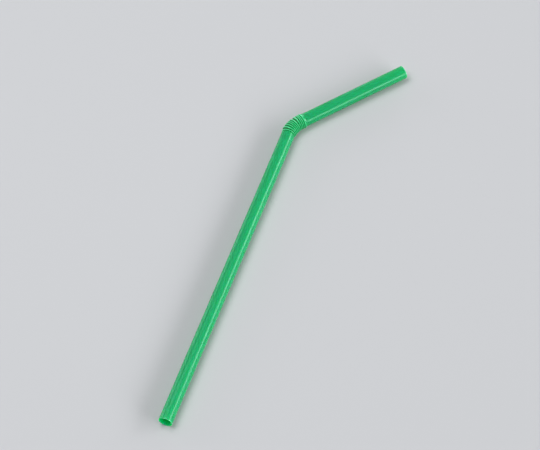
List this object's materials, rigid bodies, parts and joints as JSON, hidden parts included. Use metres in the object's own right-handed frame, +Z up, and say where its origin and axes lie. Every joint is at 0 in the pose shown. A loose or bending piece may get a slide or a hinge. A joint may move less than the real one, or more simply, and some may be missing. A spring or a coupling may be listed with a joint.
{
  "type": "flexible drinking straw",
  "caption": "Thin-walled tube with a corrugated bellows near one end, bent at the bellows; carries a drink from a cup to the mouth.",
  "frame": {"origin": "middle of the bounding box's underside, on the surface that the straw lies on", "axes": "+Y along the long leg towards the bellows, +X to the side that the short leg bends to, +Z up from the surface"},
  "size_m": [0.0428, 0.2012, 0.0068],
  "materials": {
    "straw": "smooth, slightly glossy green polypropylene that lets a little light through"
  },
  "bodies": {
    "root": {"straw": "straw"}
  },
  "joints": []
}
